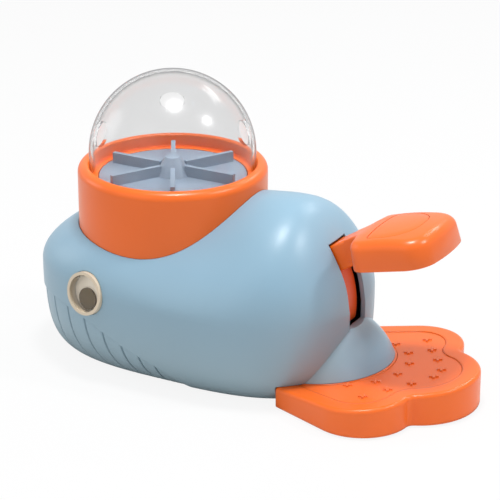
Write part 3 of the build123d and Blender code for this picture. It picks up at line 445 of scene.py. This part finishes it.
def plate_plan(size, gap):
    """A plate's outline with a straight arm end, smaller all round by a gap."""
    root, half, end, bulge, corner, root_corner = size
    straight = half - root_corner
    curve = []
    for k in range(PLATE_ROOT_STEPS):
        share = k / PLATE_ROOT_STEPS
        curve.append((root + gap, PLATE_ROOT_HALF + (straight - PLATE_ROOT_HALF) * share))
    centre = (root + root_corner, straight)
    curve += arc(centre, root_corner - gap, math.pi, math.pi / 2, PLATE_CORNER_STEPS)
    inner = (half - gap, end - gap, bulge, corner - gap)
    return outline(root + gap, PLATE_ROOT_HALF, curve, *inner)


def level(points, w):
    """The outline at one height over the paddle's underside."""
    return [paddle_point(u, v, w) for u, v in points]


def on_crown(points, sink=0.0):
    """The outline laid on the crown, or a depth under it."""
    return [paddle_point(u, v, crown(u, v) - sink) for u, v in points]


def between(points, others, share):
    """An outline part of the way from one to another."""
    return [
        (u + (to_u - u) * share, v + (to_v - v) * share)
        for (u, v), (to_u, to_v) in zip(points, others)
    ]


def domed(points, sink=0.0):
    """Rings from a plate's outline in to its spine, which follow the crown at a depth."""
    spine = [(min(max(u, PANEL_SPINE[0]), PANEL_SPINE[1]), 0.0) for u, _ in points]
    return [on_crown(between(points, spine, share), sink) for share in SPINE_SHARES]


def bar_section(r, size):
    """A rounded rectangle square across the arm."""
    half, depth, corner = size
    section = []
    for quarter, (across, up) in enumerate(((1, 1), (-1, 1), (-1, -1), (1, -1))):
        centre = (across * (half - corner), up * (depth - corner))
        start = math.pi / 2 * quarter
        for v, w in arc(centre, corner, start, start + math.pi / 2, BAR_CORNER_STEPS):
            section.append(arm_point(r, v, w))
    return section


def skin(name, rings, caps=(True, True)):
    """A mesh through rings of points, closed by a face at each end that is asked for."""
    mesh = bpy.data.meshes.new(name)
    shape = bmesh.new()
    rows = [[shape.verts.new(point) for point in ring] for ring in rings]
    for lower, upper in zip(rows, rows[1:]):
        for k in range(len(lower)):
            following = (k + 1) % len(lower)
            shape.faces.new((lower[k], lower[following], upper[following], upper[k]))
    if caps[0]:
        shape.faces.new(list(reversed(rows[0])))
    if caps[1]:
        shape.faces.new(rows[-1])
    bmesh.ops.remove_doubles(shape, verts=shape.verts, dist=WELD)
    bmesh.ops.recalc_face_normals(shape, faces=shape.faces)
    shape.to_mesh(mesh)
    shape.free()
    mesh.polygons.foreach_set("use_smooth", [True] * len(mesh.polygons))
    obj = bpy.data.objects.new(name, mesh)
    scene.collection.objects.link(obj)
    return obj


flare = [(ROOT_START, ROOT_HALF), ((ROOT_START + FLARE_START) / 2, ROOT_HALF)]
hollow_centre = (FLARE_START, ROOT_HALF + FLARE_HOLLOW)
hollow_start = -math.pi / 2
flare += arc(
    hollow_centre, FLARE_HOLLOW, hollow_start, hollow_start + FLARE_TURN, FLARE_STEPS
)
arcs_width = (FLARE_HOLLOW + FLARE_FULL) * (1 - math.cos(FLARE_TURN))
straight_length = (PADDLE_HALF - ROOT_HALF - arcs_width) / math.tan(FLARE_TURN)
shoulder = flare[-1][0] + straight_length + FLARE_FULL * math.sin(FLARE_TURN)
full_centre = (shoulder, PADDLE_HALF - FLARE_FULL)
full_start = math.pi / 2 + FLARE_TURN
flare += arc(full_centre, FLARE_FULL, full_start, math.pi / 2, FLARE_STEPS)
block_end = (PADDLE_HALF, PADDLE_END, PADDLE_BULGE, PADDLE_CORNER)
plan = outline(ROOT_START, ROOT_HALF, flare, *block_end)
panel = plate_plan(PANEL_SIZE, 0.0)
cover_seat = plate_plan(COVER_SIZE, 0.0)

# The block: cover recess, underside and its edge, sides and top edge, crown and panel recess
rings = [level(cover_seat, COVER_RECESS), level(cover_seat, 0.0)]
rings += [level(inset(plan, amount), w) for amount, w in UNDER_EDGE]
lean = PADDLE_DRAFT * (PADDLE_THICK - PADDLE_ROUND)
for k in range(ROUND_STEPS + 1):
    angle = math.pi / 2 * k / ROUND_STEPS
    drop = PADDLE_ROUND * (1 - math.sin(angle))
    ring = []
    for u, v in inset(plan, lean + PADDLE_ROUND * (1 - math.cos(angle)), True):
        ring.append(paddle_point(u, v, crown(u, v) - fade(u) * drop))
    rings.append(ring)
edge_plan = inset(plan, lean + PADDLE_ROUND, True)
rings += [on_crown(between(edge_plan, panel, share)) for share in TOP_SHARES]
rings.append(on_crown(panel, PANEL_RECESS))
rings += domed(panel, PANEL_RECESS)
paddle_skin = skin("paddle_skin", rings, (True, False))

# The neck, with the socket that takes the arm's tongue, is a second closed shell of the same piece
rings = [bar_section(r, NECK_SIZE) for r in (NECK_END, SHIELD_R)]
rings += [bar_section(r, SOCKET_SIZE) for r in (SHIELD_R, SOCKET_END)]
neck = skin("neck", rings)
shape = bmesh.new()
shape.from_mesh(paddle_skin.data)
shape.from_mesh(neck.data)
shape.to_mesh(paddle_skin.data)
shape.free()
bpy.data.objects.remove(neck)

# The inlaid top plate and the base cover, each a little smaller than its recess
plate = plate_plan(PANEL_SIZE, PANEL_GAP)
rings = [on_crown(inset(plate, amount), sink) for amount, sink in PANEL_EDGE]
rings += domed(inset(plate, PANEL_EDGE[-1][0]))
top_plate = skin("paddle_top_plate", rings, (True, False))

cover = plate_plan(COVER_SIZE, COVER_GAP)
rings = [level(inset(cover, amount), w) for amount, w in COVER_EDGE]
base_cover = skin("paddle_base_cover", rings)

paddle_pieces = (
    (paddle_skin, "paddle"),
    (top_plate, "paddle_panel"),
    (base_cover, "paddle_base"),
)
for piece, node in paddle_pieces:
    piece.data.set_sharp_from_angle(angle=SHARP)
    piece.data.materials.append(materials["paddle_orange"])
    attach(piece, "lever")
    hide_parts(node)

# Return spring: a wire coil with closed end turns
spring_low, spring_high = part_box("return_spring")
WIRE_R = 0.0007
COIL_R = 0.0053
END_TURN = 2.2 * WIRE_R
TURNS = 9
TURN_STEPS = 32
WIRE_SIDES = 10
mid_x = (spring_low[0] + spring_high[0]) / 2
free_height = spring_high[2] - spring_low[2] - 2 * WIRE_R
active_pitch = (free_height - 2 * END_TURN) / (TURNS - 2)
rings = []
for k in range(TURNS * TURN_STEPS + 1):
    turn = k / TURN_STEPS
    angle = 2 * math.pi * turn
    out = Vector((math.cos(angle), math.sin(angle), 0))
    closed = min(turn, 1) + max(turn - TURNS + 1, 0)
    active = min(max(turn - 1, 0), TURNS - 2)
    climb = closed * END_TURN + active * active_pitch
    centre = Vector((mid_x, 0, spring_low[2] + WIRE_R + climb)) + out * COIL_R
    ring = []
    for side in range(WIRE_SIDES):
        around = 2 * math.pi * side / WIRE_SIDES
        rise = Vector((0, 0, WIRE_R * math.sin(around)))
        ring.append(centre + out * WIRE_R * math.cos(around) + rise)
    rings.append(ring)
coil = skin("return_coil", rings)
coil.data.materials.append(materials["steel"])
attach(coil, "body")
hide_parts("return_spring")
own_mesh(coil)

# Camera at the photograph's viewing angle
AZIMUTH = math.radians(28.5)
ELEVATION = math.radians(22.0)
DISTANCE = 1.2036
TARGET = Vector((-0.00676, 0.0, 0.06672))
LENS = 158.4
SENSOR = 36.0
back = Vector((
    math.sin(AZIMUTH) * math.cos(ELEVATION),
    -math.cos(AZIMUTH) * math.cos(ELEVATION),
    math.sin(ELEVATION),
))
camera_data = bpy.data.cameras.new("camera")
camera_data.lens = LENS
camera_data.sensor_width = SENSOR
camera = bpy.data.objects.new("camera", camera_data)
camera.location = TARGET + back * DISTANCE
camera.rotation_euler = back.to_track_quat("Z", "Y").to_euler()
scene.collection.objects.link(camera)
scene.camera = camera

# Studio: pale floor, white surroundings and soft lamps that look at the toy's middle
LAMP_TARGET = Vector((0.0, 0.0, 0.07))
FLOOR_REACH = 3.0
FLOOR_DROP = 0.0002
FLOOR_PAINT = (0.72, 0.72, 0.72, 1.0)
FLOOR_GLOW = 0.88
SKY_LIGHT = (0.97, 0.98, 1.0, 1.0)
SKY_STRENGTH = 0.6
WHITE = (1.0, 1.0, 1.0, 1.0)
WHITE_REFLECTED = 0.8
WHITE_SEEN = 1.0


def lamp(name, direction, distance, size, power):
    """A soft lamp in one direction, round, or a rectangle where its size is a width and height."""
    data = bpy.data.lights.new(name, "AREA")
    if isinstance(size, tuple):
        data.shape = "RECTANGLE"
        data.size, data.size_y = size
    else:
        data.shape = "DISK"
        data.size = size
    data.energy = power
    obj = bpy.data.objects.new(name, data)
    away = Vector(direction).normalized()
    obj.location = LAMP_TARGET + away * distance
    obj.rotation_euler = away.to_track_quat("Z", "Y").to_euler()
    scene.collection.objects.link(obj)


lamp("overhead", (0.03, -0.06, 1.0), distance=0.9, size=0.18, power=5.2)
lamp("right_rear", (0.63, 0.19, 0.755), distance=1.0, size=0.16, power=2.6)
lamp("front_fill", (-0.35, -1.0, 0.55), distance=1.6, size=1.4, power=2.2)
lamp("rear_streak", (0.1, 0.77, 0.62), distance=1.0, size=(0.34, 0.04), power=1.2)
lamp("left_rim", (-1.0, -0.15, 0.35), distance=1.3, size=0.6, power=1.6)

floor_mesh = bpy.data.meshes.new("floor")
square = ((-1, -1), (1, -1), (1, 1), (-1, 1))
corners = [(x * FLOOR_REACH, y * FLOOR_REACH, 0) for x, y in square]
floor_mesh.from_pydata(corners, [], [(0, 1, 2, 3)])
floor = bpy.data.objects.new("floor", floor_mesh)
floor.location.z = -FLOOR_DROP
scene.collection.objects.link(floor)

# The floor glows for the camera, also through the clear pieces, and lights nothing itself
g = Finish("floor")
g.set(Roughness=0.9, Base_Color=FLOOR_PAINT)
glow = g.add("ShaderNodeEmission")
path = g.add("ShaderNodeLightPath")
seen = g.larger(path, "Is Camera Ray", path, "Is Transmission Ray")
share = g.span(seen, 0, 0.0, FLOOR_GLOW)
g.join(g.mixed(share, "Result", g.surface, glow), 0, g.output, "Surface")
floor_mesh.materials.append(g.material)

# The world is white to the camera, in reflections and through clear pieces, and softer as light
world = bpy.data.worlds.new("studio")
scene.world = world
world.use_nodes = True
g = Graph(world.node_tree)
output = g.add("ShaderNodeOutputWorld")
soft = g.add("ShaderNodeBackground", {"Color": SKY_LIGHT, "Strength": SKY_STRENGTH})
white = g.add("ShaderNodeBackground", {"Color": WHITE})
path = g.add("ShaderNodeLightPath")
strength = g.span(path, "Is Camera Ray", WHITE_REFLECTED, WHITE_SEEN)
g.join(strength, "Result", white, "Strength")
seen = g.larger(path, "Is Camera Ray", path, "Is Glossy Ray")
seen = g.larger(seen, 0, path, "Is Transmission Ray")
g.join(g.mixed(seen, 0, soft, white), 0, output, "Surface")
scene.view_settings.view_transform = "Standard"
